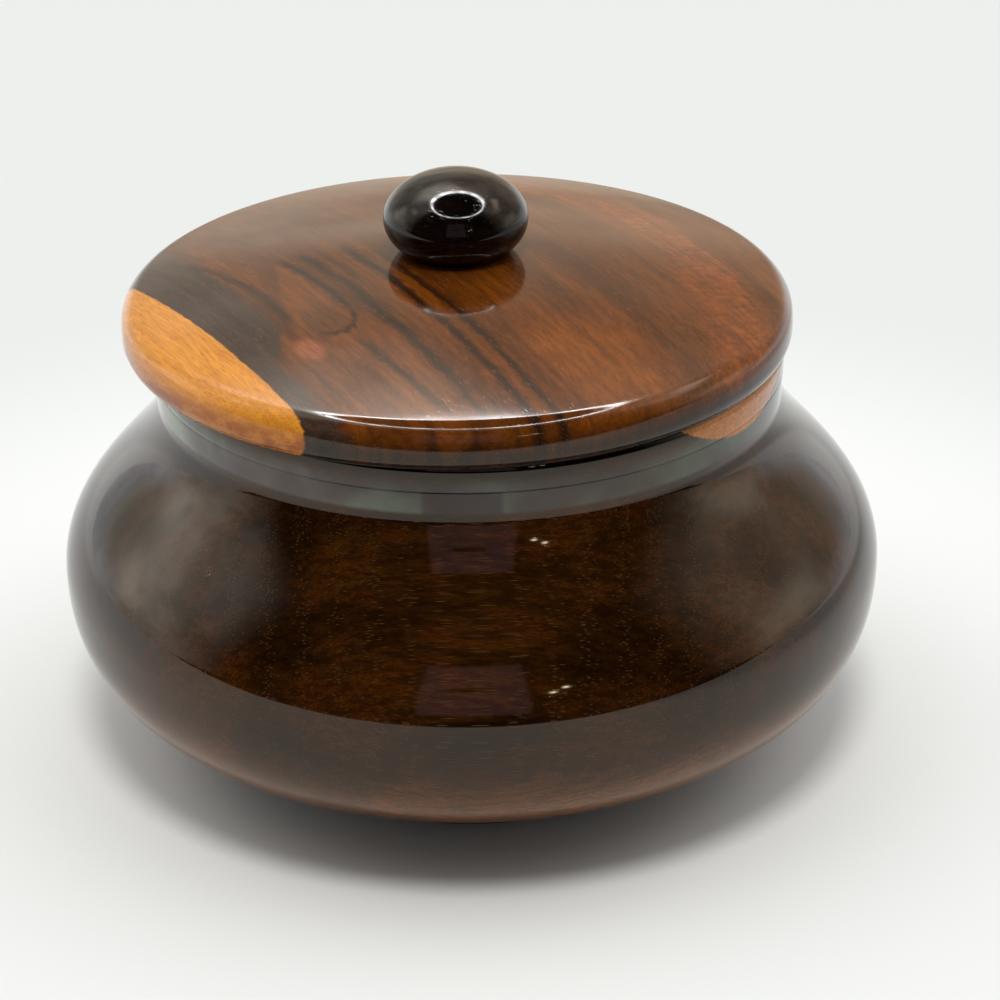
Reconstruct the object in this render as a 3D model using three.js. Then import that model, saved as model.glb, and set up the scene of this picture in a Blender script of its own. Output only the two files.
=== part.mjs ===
// A lidded trinket bowl, turned from dark heartwood: a squat bowl with a collar round its mouth, a crowned
// lid whose spigot drops into the mouth, and a bun-shaped knob glued into the lid.
// Millimetres, +Z up, origin on the table under the middle of the foot.
import * as THREE from 'three';

const { degToRad } = THREE.MathUtils;

// Bowl, outside: radii from the axis, heights one above the other
const bellyRadius = 60;
const bellyHeight = 29.6;
const footRadius = 32;
const shoulderRise = 25.5;
const collarFootRadius = 45.2;
const collarHeight = 8.7;
const rimFlare = 0.4;
const rimRounding = 1.3;

// How far each end of a belly curve runs on along its tangent, and how steep the ends are
const footSweep = 16;
const footSlope = degToRad(43.5);
const undersideSweep = 19.9;
const shoulderSweep = 11.1;
const collarFootSweep = 10.2;
const collarFootSlope = degToRad(76);

// Fine line cut round the collar
const collarLineHeight = 4.6;
const collarLineWidth = 0.5;
const collarLineDepth = 0.25;

// Bowl, inside
const collarWall = 5.2;
const mouthChamfer = 0.6;
const mouthDepth = 11;
const bellyWall = 6;
const floorThickness = 7;
const floorRadius = 22;
const innerShoulderSweep = 8;
const innerMouthSweep = 8;
const innerMouthSlope = degToRad(60);
const innerUndersideSweep = 14;
const innerFloorSweep = 15;
const innerFloorSlope = degToRad(12);

// Lid
const lidOverhang = 2.6;
const lidEdgeThickness = 6.8;
const lidCrownHeight = 12.6;
const lidWall = 7;
const spigotLength = 3;
const spigotWall = 4.5;
const spigotChamfer = 0.5;

// Play of the spigot in the mouth, and what is left of it on the side that the lid has slid to
const spigotPlay = 2;
const slideGap = 0.4;

// Knob
const knobRadius = 10.35;
const knobCrownHeight = 6.7;
const knobUndercutHeight = 4.9;
const knobSeatRadius = 7.2;
const tenonRadius = 3;
const tenonLength = 4.5;
const glueGap = 0.15;
const tenonEndGap = 0.3;

// Facets of the turned surfaces
const bowlFacets = 72;
const knobFacets = 36;
const bellySteps = 12;
const innerSteps = 8;
const edgeSteps = 10;
const crownSteps = 7;
const roundingSteps = 3;
const knobSteps = 8;

// Sizes that follow from the ones above
const collarFootHeight = bellyHeight + shoulderRise;
const rimHeight = collarFootHeight + collarHeight;
const rimRadius = collarFootRadius + rimFlare;
const mouthRadius = collarFootRadius - collarWall;
const innerBellyRadius = bellyRadius - bellyWall;
const lidRadius = rimRadius + lidOverhang;
const spigotRadius = mouthRadius - spigotPlay;
const lidShift = slideGap - spigotPlay;

// A point of a profile: its radius and its height
function at(radius, height) {
  return new THREE.Vector2(radius, height);
}

// The point reached from another by going a length at an angle above the horizontal
function onward(point, length, angle) {
  return at(point.x + length * Math.cos(angle), point.y + length * Math.sin(angle));
}

// Points of a quarter or part of an ellipse about a centre, from one angle to another
function arc(centre, radiusAcross, radiusUp, from, to, steps) {
  const points = [];
  for (let i = 0; i <= steps; i += 1) {
    const angle = from + ((to - from) * i) / steps;
    points.push(at(centre.x + radiusAcross * Math.cos(angle), centre.y + radiusUp * Math.sin(angle)));
  }
  return points;
}

// Turns a profile round the axis. It starts and ends on the axis and has the wood on its left
function turned(profile, facets) {
  const geometry = new THREE.LatheGeometry(profile, facets);
  geometry.rotateX(Math.PI / 2);
  return geometry;
}

// The outside of the bowl, from its foot up to its collar
function bellyOutline() {
  const foot = at(footRadius, 0);
  const widest = at(bellyRadius, bellyHeight);
  const collarFoot = at(collarFootRadius, collarFootHeight);
  const underside = new THREE.CubicBezierCurve(
    foot,
    onward(foot, footSweep, footSlope),
    at(bellyRadius, bellyHeight - undersideSweep),
    widest,
  );
  const shoulder = new THREE.CubicBezierCurve(
    widest,
    at(bellyRadius, bellyHeight + shoulderSweep),
    onward(collarFoot, collarFootSweep, -collarFootSlope),
    collarFoot,
  );
  return [...underside.getPoints(bellySteps), ...shoulder.getPoints(bellySteps).slice(1)];
}

// The collar leans out towards the rim, with a fine line round it and a rounded top edge
function collarOutline() {
  const wallTop = collarHeight - rimRounding;
  const radiusUp = (height) => collarFootRadius + (rimFlare * height) / wallTop;
  const lineFoot = collarLineHeight - collarLineWidth / 2;
  const lineTop = collarLineHeight + collarLineWidth / 2;
  const line = [
    at(radiusUp(lineFoot), collarFootHeight + lineFoot),
    at(radiusUp(collarLineHeight) - collarLineDepth, collarFootHeight + collarLineHeight),
    at(radiusUp(lineTop), collarFootHeight + lineTop),
  ];
  const centre = at(rimRadius - rimRounding, rimHeight - rimRounding);
  return [...line, ...arc(centre, rimRounding, rimRounding, 0, Math.PI / 2, roundingSteps)];
}

// The inside of the bowl, from its mouth down to the middle of its floor
function hollowOutline() {
  const throat = at(mouthRadius, rimHeight - mouthDepth);
  const widest = at(innerBellyRadius, bellyHeight);
  const floorEdge = at(floorRadius, floorThickness);
  const shoulder = new THREE.CubicBezierCurve(
    throat,
    onward(throat, innerMouthSweep, -innerMouthSlope),
    at(innerBellyRadius, bellyHeight + innerShoulderSweep),
    widest,
  );
  const bottom = new THREE.CubicBezierCurve(
    widest,
    at(innerBellyRadius, bellyHeight - innerUndersideSweep),
    onward(floorEdge, innerFloorSweep, innerFloorSlope),
    floorEdge,
  );
  return [
    at(mouthRadius + mouthChamfer, rimHeight),
    at(mouthRadius, rimHeight - mouthChamfer),
    ...shoulder.getPoints(innerSteps),
    ...bottom.getPoints(innerSteps).slice(1),
    at(0, floorThickness),
  ];
}

function bowlGeometry() {
  return turned([at(0, 0), ...bellyOutline(), ...collarOutline(), ...hollowOutline()], bowlFacets);
}

// The lid's crown is part of a sphere that runs smoothly into its rounded edge.
// Heights in the lid are measured from the face that rests on the rim
const edgeRadius = lidEdgeThickness / 2;
const edgeCentre = at(lidRadius - edgeRadius, edgeRadius);
const crownAboveEdge = lidCrownHeight - edgeRadius;
const crownRadius =
  (edgeCentre.x ** 2 + crownAboveEdge ** 2 - edgeRadius ** 2) / (2 * (crownAboveEdge - edgeRadius));
const crownCentreHeight = lidCrownHeight - crownRadius;
const crownEndAngle = Math.acos(edgeCentre.x / (crownRadius - edgeRadius));

// Height of a sphere about the crown's centre, over a point this far from the axis
function crownHeightOver(radius, sphereRadius) {
  return crownCentreHeight + Math.sqrt(sphereRadius ** 2 - radius ** 2);
}

// The knob stands on a small flat in the middle of the crown
const knobSeatHeight = crownHeightOver(knobSeatRadius, crownRadius);

function lidGeometry() {
  const recessRadius = spigotRadius - spigotWall;
  const ceilingRadius = crownRadius - lidWall;
  const centre = at(0, crownCentreHeight);
  const ceilingEndAngle = Math.acos(recessRadius / ceilingRadius);
  const seatAngle = Math.acos(knobSeatRadius / crownRadius);
  const holeRadius = tenonRadius + glueGap;
  const holeHeight = knobSeatHeight - tenonLength - tenonEndGap;
  const profile = [
    ...arc(centre, ceilingRadius, ceilingRadius, Math.PI / 2, ceilingEndAngle, crownSteps),
    at(recessRadius, -spigotLength),
    at(spigotRadius - spigotChamfer, -spigotLength),
    at(spigotRadius, spigotChamfer - spigotLength),
    at(spigotRadius, 0),
    ...arc(edgeCentre, edgeRadius, edgeRadius, -Math.PI / 2, crownEndAngle, edgeSteps),
    ...arc(centre, crownRadius, crownRadius, crownEndAngle, seatAngle, crownSteps).slice(1),
    at(holeRadius, knobSeatHeight),
    at(holeRadius, holeHeight),
    at(0, holeHeight),
  ];
  profile[0].x = 0;
  return turned(profile, bowlFacets);
}

// The knob: half an ellipse above its widest part, and part of another below it, cut off at the seat.
// Heights in the knob are measured from its seat on the lid
function knobGeometry() {
  const widest = at(0, knobUndercutHeight);
  const undercutAngle = Math.acos(knobSeatRadius / knobRadius);
  const undercutRadius = knobUndercutHeight / Math.sin(undercutAngle);
  const profile = [
    at(0, -tenonLength),
    at(tenonRadius, -tenonLength),
    at(tenonRadius, 0),
    ...arc(widest, knobRadius, undercutRadius, -undercutAngle, 0, knobSteps / 2),
    ...arc(widest, knobRadius, knobCrownHeight, 0, Math.PI / 2, knobSteps).slice(1),
  ];
  profile[profile.length - 1].x = 0;
  return turned(profile, knobFacets);
}

// Finishes
const bowlWood = new THREE.MeshStandardMaterial({ color: 0x33201a, roughness: 0.22, metalness: 0 });
const lidWood = new THREE.MeshStandardMaterial({ color: 0x5a2f1c, roughness: 0.2, metalness: 0 });
const knobWood = new THREE.MeshStandardMaterial({ color: 0x140d0b, roughness: 0.15, metalness: 0 });

function piece(name, geometry, material) {
  const mesh = new THREE.Mesh(geometry, material);
  mesh.name = name;
  return mesh;
}

const trinketBowl = new THREE.Group();
trinketBowl.add(piece('bowl', bowlGeometry(), bowlWood));

// The lid lies on the rim, slid to one side as far as its spigot's play lets it, less a small gap
const liddedTop = new THREE.Group();
liddedTop.position.set(lidShift, 0, rimHeight);
liddedTop.add(piece('lid', lidGeometry(), lidWood));

const knob = piece('knob', knobGeometry(), knobWood);
knob.position.z = knobSeatHeight;
liddedTop.add(knob);
trinketBowl.add(liddedTop);

export default trinketBowl;
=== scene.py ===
import math

import bmesh
import bpy
from mathutils import Euler, Matrix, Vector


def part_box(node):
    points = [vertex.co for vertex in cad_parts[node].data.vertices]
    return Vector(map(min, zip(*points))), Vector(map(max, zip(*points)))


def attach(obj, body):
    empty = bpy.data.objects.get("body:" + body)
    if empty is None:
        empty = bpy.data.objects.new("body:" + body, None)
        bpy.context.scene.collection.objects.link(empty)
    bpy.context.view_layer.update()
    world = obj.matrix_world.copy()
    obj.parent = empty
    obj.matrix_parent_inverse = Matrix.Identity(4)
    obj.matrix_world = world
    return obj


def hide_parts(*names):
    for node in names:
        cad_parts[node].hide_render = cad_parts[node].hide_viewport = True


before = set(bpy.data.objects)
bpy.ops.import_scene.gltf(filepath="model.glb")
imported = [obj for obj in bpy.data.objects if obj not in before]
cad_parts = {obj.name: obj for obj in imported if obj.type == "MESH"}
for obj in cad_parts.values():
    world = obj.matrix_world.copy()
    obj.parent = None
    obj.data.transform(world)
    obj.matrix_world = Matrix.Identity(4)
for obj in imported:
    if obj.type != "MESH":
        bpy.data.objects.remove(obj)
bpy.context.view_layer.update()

mm = 0.001
onAxis = 1e-6
sharpFrom = 38  # degrees; corners that turn more than this stay crisp


# Outlines are lists of (radius, height) in mm, and run with the wood on their left

def bend(start, startPull, endPull, end, steps):
    # points of a curve that leaves start towards startPull and comes into end from endPull
    found = []
    for i in range(steps + 1):
        t = i / steps
        a, b, c, d = (1 - t) ** 3, 3 * t * (1 - t) ** 2, 3 * t * t * (1 - t), t ** 3
        found.append(tuple(a * p + b * q + c * r + d * s
                           for p, q, r, s in zip(start, startPull, endPull, end)))
    return found


def onward(point, length, slope):
    # the point reached from another by going this far at a slope in degrees
    return (point[0] + length * math.cos(math.radians(slope)),
            point[1] + length * math.sin(math.radians(slope)))


def sweep(centre, across, up, fromAngle, toAngle, steps):
    # part of an ellipse about a centre, angles in degrees
    found = []
    for i in range(steps + 1):
        a = math.radians(fromAngle + (toAngle - fromAngle) * i / steps)
        found.append((centre[0] + across * math.cos(a), centre[1] + up * math.sin(a)))
    return found


def turnOnLathe(name, sections, centre, facets):
    # sections are (finish, outline) pairs that follow on from each other, from the axis back to the axis.
    # A vertex value called bare marks the wood that was left without lacquer
    work = bmesh.new()
    bare = work.verts.layers.float.new("bare")
    rings = []
    for finish, outline in sections:
        for radius, height in outline:
            spots = 1 if radius < onAxis else facets
            ring = []
            for i in range(spots):
                a = math.tau * i / facets
                spot = work.verts.new((centre[0] + radius * mm * math.cos(a),
                                       centre[1] + radius * mm * math.sin(a),
                                       centre[2] + height * mm))
                spot[bare] = 1 if finish == "bare" else 0
                ring.append(spot)
            rings.append(ring)
    for low, high in zip(rings, rings[1:]):
        for i in range(facets):
            j = (i + 1) % facets
            if len(low) == 1:
                work.faces.new((low[0], high[j], high[i]))
            elif len(high) == 1:
                work.faces.new((low[i], low[j], high[0]))
            else:
                work.faces.new((low[i], low[j], high[j], high[i]))
    bmesh.ops.recalc_face_normals(work, faces=work.faces)
    mesh = bpy.data.meshes.new(name)
    work.to_mesh(mesh)
    work.free()
    mesh.shade_smooth()
    mesh.set_sharp_from_angle(angle=math.radians(sharpFrom))
    piece = bpy.data.objects.new(name, mesh)
    bpy.context.scene.collection.objects.link(piece)
    return piece


bowlSizes = {
    "bellyRadius": 60, "bellyHeight": 29.6, "footRadius": 32, "footRings": (0, 12, 24),
    "footSweep": 16, "footSlope": 43.5, "undersideSweep": 19.9, "undersideSteps": 56,
    "collarFootRadius": 45.2, "collarFootHeight": 55.1,
    "shoulderSweep": 11.1, "collarFootSweep": 10.2, "collarFootSlope": 76, "shoulderSteps": 72,
    "collarRings": (55.6, 56.4, 57.6, 58.7, 59.3), "rimRings": (60.3, 60.9, 61.8),
    "lineHeight": 59.7, "lineReach": 0.3, "lineDepth": 0.08,
    "lineShape": ((-1, 0), (-0.6, 0.375), (0, 1), (0.6, 0.375), (1, 0)),
    "rimRadius": 45.6, "rimHeight": 63.8, "rimRounding": 1.3, "rimSteps": 10, "rimTopRings": (43, 41),
    "mouthRadius": 40, "mouthChamfer": 0.6, "mouthRing": 58, "throatHeight": 52.8,
    "innerRadius": 54, "innerShoulderSweep": 8, "innerMouthSweep": 8, "innerMouthSlope": 60,
    "innerUndersideSweep": 14, "innerFloorSweep": 15, "innerFloorSlope": 12, "innerSteps": 40,
    "floorRadius": 22, "floorThickness": 7, "floorRings": (16, 8, 0), "facets": 288,
}


def bowlOutline(s):
    foot = (s["footRadius"], 0)
    widest = (s["bellyRadius"], s["bellyHeight"])
    collarFoot = (s["collarFootRadius"], s["collarFootHeight"])
    under = [(radius, 0) for radius in s["footRings"]] + [foot]
    outside = bend(foot, onward(foot, s["footSweep"], s["footSlope"]),
                   onward(widest, s["undersideSweep"], -90), widest, s["undersideSteps"])[1:]
    outside += bend(widest, onward(widest, s["shoulderSweep"], 90),
                    onward(collarFoot, s["collarFootSweep"], -s["collarFootSlope"]), collarFoot,
                    s["shoulderSteps"])[1:]
    wallTop = s["rimHeight"] - s["rimRounding"]
    lean = (s["rimRadius"] - s["collarFootRadius"]) / (wallTop - s["collarFootHeight"])

    def onCollar(height, depth=0.0):
        return (s["collarFootRadius"] + lean * (height - s["collarFootHeight"]) - depth, height)
    outside += [onCollar(height) for height in s["collarRings"]]
    outside += [onCollar(s["lineHeight"] + away * s["lineReach"], share * s["lineDepth"])
                for away, share in s["lineShape"]]
    outside += [onCollar(height) for height in s["rimRings"]]
    outside += sweep((s["rimRadius"] - s["rimRounding"], wallTop), s["rimRounding"], s["rimRounding"],
                     0, 90, s["rimSteps"])
    outside += [(radius, s["rimHeight"])
                for radius in (*s["rimTopRings"], s["mouthRadius"] + s["mouthChamfer"])]

    throat = (s["mouthRadius"], s["throatHeight"])
    inner = (s["innerRadius"], s["bellyHeight"])
    floorEdge = (s["floorRadius"], s["floorThickness"])
    inside = [(s["mouthRadius"], s["rimHeight"] - s["mouthChamfer"]), (s["mouthRadius"], s["mouthRing"])]
    inside += bend(throat, onward(throat, s["innerMouthSweep"], -s["innerMouthSlope"]),
                   onward(inner, s["innerShoulderSweep"], 90), inner, s["innerSteps"])
    inside += bend(inner, onward(inner, s["innerUndersideSweep"], -90),
                   onward(floorEdge, s["innerFloorSweep"], s["innerFloorSlope"]), floorEdge,
                   s["innerSteps"])[1:]
    inside += [(radius, s["floorThickness"]) for radius in s["floorRings"]]
    return [("bare", under), ("lacquered", outside), ("bare", inside)]


lidSizes = {
    "radius": 48.2, "edgeThickness": 6.8, "crownHeight": 12.6, "wall": 7,
    "widestHeight": 2.2, "undersideRound": 1.6, "rollFrom": 35, "edgePull": 1.3, "rollPull": 1.0,
    "spigotRadius": 38, "spigotLength": 3, "spigotWall": 4.5, "spigotChamfer": 0.5, "seatRings": (41, 43.6),
    "knobSeatRadius": 7.2, "holeRadius": 3.15, "holeDepth": 4.8,
    "ceilingSteps": 24, "edgeSteps": 20, "blendSteps": 16, "crownSteps": 40, "facets": 288,
}


def lidOutline(s):
    edge = s["edgeThickness"] / 2
    edgeCentre = (s["radius"] - edge, edge)
    rise = s["crownHeight"] - edge
    crown = (edgeCentre[0] ** 2 + rise ** 2 - edge ** 2) / (2 * (rise - edge))
    middle = s["crownHeight"] - crown
    crownEnd = math.degrees(math.acos(edgeCentre[0] / (crown - edge)))
    recess = s["spigotRadius"] - s["spigotWall"]
    ceiling = crown - s["wall"]
    seatHeight = middle + math.sqrt(crown ** 2 - s["knobSeatRadius"] ** 2)
    holeHeight = seatHeight - s["holeDepth"]
    ceilingEnd = math.degrees(math.acos(recess / ceiling))
    under = sweep((0, middle), ceiling, ceiling, 90, ceilingEnd, s["ceilingSteps"])
    under[0] = (0, under[0][1])
    under += [(recess, -s["spigotLength"]), (s["spigotRadius"] - s["spigotChamfer"], -s["spigotLength"]),
              (s["spigotRadius"], s["spigotChamfer"] - s["spigotLength"]), (s["spigotRadius"], 0)]
    under += [(radius, 0) for radius in s["seatRings"]]

    # the edge is widest below its middle, and rolls over into the crown above
    widest = (s["radius"], s["widestHeight"])
    roll = sweep(edgeCentre, edge, edge, s["rollFrom"], crownEnd, s["edgeSteps"])
    top = sweep((s["radius"] - s["undersideRound"], s["widestHeight"]), s["undersideRound"],
                s["widestHeight"], -90, 0, s["edgeSteps"])
    top += bend(widest, onward(widest, s["edgePull"], 90),
                onward(roll[0], s["rollPull"], s["rollFrom"] - 90), roll[0], s["blendSteps"])[1:]
    top += roll[1:]
    seatAngle = math.degrees(math.acos(s["knobSeatRadius"] / crown))
    top += sweep((0, middle), crown, crown, crownEnd, seatAngle, s["crownSteps"])[1:]
    seat = [(s["holeRadius"], seatHeight), (s["holeRadius"], holeHeight), (0, holeHeight)]
    return [("bare", under), ("lacquered", top), ("bare", seat)], seatHeight


knobSizes = {
    "radius": 10.35, "crown": 6.7, "undercut": 4.9, "seatRadius": 7.2, "tenonRadius": 3, "tenon": 4.5,
    "undercutSteps": 28, "crownSteps": 40, "facets": 144,
}


def knobOutline(s):
    low = math.degrees(math.acos(s["seatRadius"] / s["radius"]))
    undercut = s["undercut"] / math.sin(math.radians(low))
    tenon = [(0, -s["tenon"]), (s["tenonRadius"], -s["tenon"]), (s["tenonRadius"], 0)]
    bun = sweep((0, s["undercut"]), s["radius"], undercut, -low, 0, s["undercutSteps"])
    bun += sweep((0, s["undercut"]), s["radius"], s["crown"], 0, 90, s["crownSteps"])[1:]
    bun[-1] = (0, bun[-1][1])
    return [("bare", tenon), ("lacquered", bun)]


def middleOf(node):
    low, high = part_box(node)
    return (low + high) / 2


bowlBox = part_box("bowl")
bowlPiece = turnOnLathe("turnedBowl", bowlOutline(bowlSizes),
                        (middleOf("bowl").x, middleOf("bowl").y, bowlBox[0].z), bowlSizes["facets"])
lidProfile, seatHeight = lidOutline(lidSizes)
lidAxis = middleOf("lid")
rimHeight = bowlBox[1].z
lidPiece = turnOnLathe("turnedLid", lidProfile, (lidAxis.x, lidAxis.y, rimHeight), lidSizes["facets"])
knobPiece = turnOnLathe("turnedKnob", knobOutline(knobSizes),
                        (lidAxis.x, lidAxis.y, rimHeight + seatHeight * mm), knobSizes["facets"])
print("pieces turned")


# Small helpers for shader trees

def put(tree, kind, **settings):
    node = tree.nodes.new(kind)
    for key, value in settings.items():
        setattr(node, key, value)
    return node


def feed(tree, target, source):
    # source is a node's output or a plain value
    if isinstance(source, bpy.types.NodeSocket):
        tree.links.new(source, target)
    else:
        target.default_value = source


def maths(tree, operation, *values):
    node = put(tree, "ShaderNodeMath", operation=operation)
    for socket, value in zip(node.inputs, values):
        feed(tree, socket, value)
    return node.outputs[0]


def plus(tree, a, b):
    return maths(tree, "ADD", a, b)


def minus(tree, a, b):
    return maths(tree, "SUBTRACT", a, b)


def over(tree, a, b):
    return maths(tree, "DIVIDE", a, b)


def times(tree, *values):
    total = values[0]
    for value in values[1:]:
        total = maths(tree, "MULTIPLY", total, value)
    return total


def largest(tree, *values):
    total = values[0]
    for value in values[1:]:
        total = maths(tree, "MAXIMUM", total, value)
    return total


def between(tree, value, low, high, toLow=0.0, toHigh=1.0, smooth=True):
    # toLow below low, toHigh above high, and a soft step in between
    node = put(tree, "ShaderNodeMapRange",
               interpolation_type="SMOOTHSTEP" if smooth else "LINEAR")
    for socket, v in zip(node.inputs, (value, low, high, toLow, toHigh)):
        feed(tree, socket, v)
    return node.outputs[0]


def fading(tree, value, low, high):
    return between(tree, value, low, high, 1, 0)


def plateau(tree, value, begins, full, fades, ends):
    # rises from begins to full, falls again from fades to ends
    return times(tree, between(tree, value, begins, full), fading(tree, value, fades, ends))


def swing(tree, value, reach):
    # a noise value turned into a move to either side, as far as reach
    return times(tree, minus(tree, value, 0.5), reach, 2)


def tint(tree, share, first, second, blend="MIX"):
    node = put(tree, "ShaderNodeMix", data_type="RGBA", blend_type=blend)
    feed(tree, node.inputs["Factor"], share)
    feed(tree, node.inputs[6], first)
    feed(tree, node.inputs[7], second)
    return node.outputs[2]


def point(tree, x, y, z):
    node = put(tree, "ShaderNodeCombineXYZ")
    for socket, v in zip(node.inputs, (x, y, z)):
        feed(tree, socket, v)
    return node.outputs[0]


def parts(tree, vector):
    node = put(tree, "ShaderNodeSeparateXYZ")
    feed(tree, node.inputs[0], vector)
    return node.outputs


def inMillimetres(tree, place):
    node = put(tree, "ShaderNodeVectorMath", operation="SCALE")
    feed(tree, node.inputs[0], place)
    node.inputs["Scale"].default_value = 1 / mm
    return node.outputs[0]


def lengthOf(tree, vector):
    node = put(tree, "ShaderNodeVectorMath", operation="LENGTH")
    feed(tree, node.inputs[0], vector)
    return node.outputs["Value"]


def shade(tree, colour, amount):
    # a colour made darker or lighter as a whole
    return tint(tree, 1.0, colour, point(tree, amount, amount, amount), "MULTIPLY")


def noise(tree, where, scale, detail=2.0, rough=0.5):
    node = put(tree, "ShaderNodeTexNoise", noise_dimensions="3D")
    feed(tree, node.inputs["Vector"], where)
    feed(tree, node.inputs["Scale"], scale)
    feed(tree, node.inputs["Detail"], detail)
    feed(tree, node.inputs["Roughness"], rough)
    return node.outputs["Fac"]


def cells(tree, where, scale):
    node = put(tree, "ShaderNodeTexVoronoi", voronoi_dimensions="3D", feature="F1")
    feed(tree, node.inputs["Vector"], where)
    feed(tree, node.inputs["Scale"], scale)
    pick = put(tree, "ShaderNodeSeparateColor")
    feed(tree, pick.inputs[0], node.outputs["Color"])
    return node.outputs["Distance"], pick.outputs


def newEffect(name, takes, gives):
    # an empty group of shader nodes with named inputs and outputs
    group = bpy.data.node_groups.new(name, "ShaderNodeTree")
    for label, start in takes.items():
        kind = "NodeSocketVector" if isinstance(start, tuple) else "NodeSocketFloat"
        group.interface.new_socket(label, in_out="INPUT", socket_type=kind).default_value = start
    for label in gives:
        group.interface.new_socket(label, in_out="OUTPUT", socket_type="NodeSocketFloat")
    return group, put(group, "NodeGroupInput").outputs, put(group, "NodeGroupOutput").inputs


def use(tree, group, **values):
    node = put(tree, "ShaderNodeGroup", node_tree=group)
    for label, value in values.items():
        feed(tree, node.inputs[label], value)
    return node.outputs


# Effects that more than one of the woods uses

mostNoise = (0.3, 0.7)  # the values that a noise keeps to, nearly everywhere


def makeGrainFrame():
    # millimetres along the fibres, across them, and up
    group, given, result = newEffect("grainFrame", {"Place": (0, 0, 0), "Middle": (0, 0, 0), "Turn": 0.0},
                                     ("Along", "Across", "Up"))
    moved = put(group, "ShaderNodeVectorMath", operation="SUBTRACT")
    feed(group, moved.inputs[0], inMillimetres(group, given["Place"]))
    feed(group, moved.inputs[1], given["Middle"])
    turned = put(group, "ShaderNodeVectorRotate", rotation_type="Z_AXIS")
    feed(group, turned.inputs["Vector"], moved.outputs[0])
    feed(group, turned.inputs["Angle"], maths(group, "RADIANS", times(group, given["Turn"], -1)))
    x, y, z = parts(group, turned.outputs[0])
    feed(group, result["Across"], x)
    feed(group, result["Along"], times(group, y, -1))
    feed(group, result["Up"], z)
    return group


figureHabit = {
    "swayAlong": 0.035, "swayAcross": 0.05, "bandScale": 1.6, "bandRange": (0.34, 0.66),
    "streakAlong": 0.5, "streakScale": 1.15, "streakRange": (0.36, 0.64),
    "fibreAlong": 2.2, "fibreAcross": 6, "mottleAlong": 0.12, "mottleAcross": 0.4, "mottleRange": (0.38, 0.62),
}


def makeWoodFigure(s):
    # broad bands of growth, streaks a millimetre or so wide, and single fibres
    group, given, result = newEffect(
        "woodFigure", {"Along": 0.0, "Across": 0.0, "Up": 0.0, "BandWidth": 8.0, "Stretch": 12.0, "Sway": 1.5},
        ("Bands", "Streaks", "Fibres", "Mottle"))
    along, across, up = given["Along"], given["Across"], given["Up"]
    slow = point(group, times(group, along, s["swayAlong"]), times(group, across, s["swayAcross"]),
                 times(group, up, s["swayAcross"]))
    swayed = plus(group, across, swing(group, noise(group, slow, 1.0, detail=1.0), given["Sway"]))
    far = over(group, along, given["Stretch"])
    wide = point(group, over(group, far, given["BandWidth"]), over(group, swayed, given["BandWidth"]),
                 over(group, up, given["BandWidth"]))
    feed(group, result["Bands"], between(group, noise(group, wide, s["bandScale"]), *s["bandRange"]))
    near = point(group, times(group, far, s["streakAlong"]), swayed, up)
    streaks = noise(group, near, s["streakScale"], detail=3.0, rough=0.6)
    feed(group, result["Streaks"], between(group, streaks, *s["streakRange"]))
    fine = point(group, times(group, far, s["fibreAlong"]), times(group, swayed, s["fibreAcross"]),
                 times(group, up, s["fibreAcross"]))
    feed(group, result["Fibres"], between(group, noise(group, fine, 1.0, rough=0.6), *mostNoise))
    blotch = point(group, times(group, along, s["mottleAlong"]), times(group, swayed, s["mottleAcross"]),
                   times(group, up, s["mottleAcross"]))
    mottle = noise(group, blotch, 1.0, detail=3.0, rough=0.65)
    feed(group, result["Mottle"], between(group, mottle, *s["mottleRange"]))
    return group


veinHabit = {"leanOver": 10, "wanderAlong": 0.16, "upwards": 0.06, "swellAlong": 0.5, "swell": (0.7, 1.4), "fade": 5}


def makeDarkVein(s):
    # one dark line of growth that bows and wanders across the grain and fades at both ends
    group, given, result = newEffect(
        "darkVein", {"Along": 0.0, "Across": 0.0, "Up": 0.0, "At": 0.0, "Lean": 0.0, "Bow": 0.0, "Middle": 0.0,
                     "Width": 0.5, "From": -40.0, "To": 40.0, "Wander": 0.6, "Depth": 1.0}, ("Vein",))
    along, across, up = given["Along"], given["Across"], given["Up"]
    far = over(group, minus(group, along, given["Middle"]), s["leanOver"])
    path = plus(group, given["At"], times(group, far, given["Lean"]))
    path = plus(group, path, times(group, far, far, given["Bow"]))
    slow = point(group, times(group, along, s["wanderAlong"]), given["At"], 0)
    path = plus(group, path, swing(group, noise(group, slow, 1.0), given["Wander"]))
    path = plus(group, path, times(group, up, s["upwards"]))
    away = maths(group, "ABSOLUTE", minus(group, across, path))
    quick = point(group, times(group, along, s["swellAlong"]), across, up)
    spread = times(group, given["Width"], between(group, noise(group, quick, 1.0), *mostNoise, *s["swell"]))
    start = between(group, along, given["From"], plus(group, given["From"], s["fade"]))
    stop = fading(group, along, minus(group, given["To"], s["fade"]), given["To"])
    feed(group, result["Vein"], times(group, fading(group, away, 0, spread), start, stop, given["Depth"]))
    return group


poreHabit = {"cellScale": 0.5, "edge": (0.16, 0.36)}


def makeOpenPores(s):
    # short open vessels that lie along the fibres; they show as dashes, and as dots on the end grain
    group, given, result = newEffect(
        "openPores", {"Along": 0.0, "Across": 0.0, "Up": 0.0, "Length": 1.6, "Width": 0.25, "Share": 0.5},
        ("Pores",))
    where = point(group, over(group, given["Along"], given["Length"]), over(group, given["Across"], given["Width"]),
                  over(group, given["Up"], given["Width"]))
    away, pick = cells(group, where, s["cellScale"])
    chosen = maths(group, "LESS_THAN", pick[0], given["Share"])
    feed(group, result["Pores"], times(group, fading(group, away, *s["edge"]), chosen))
    return group


sapwoodHabit = {"fibreAlong": 0.45, "fibreAcross": 2.5, "soft": 0.16}


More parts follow.
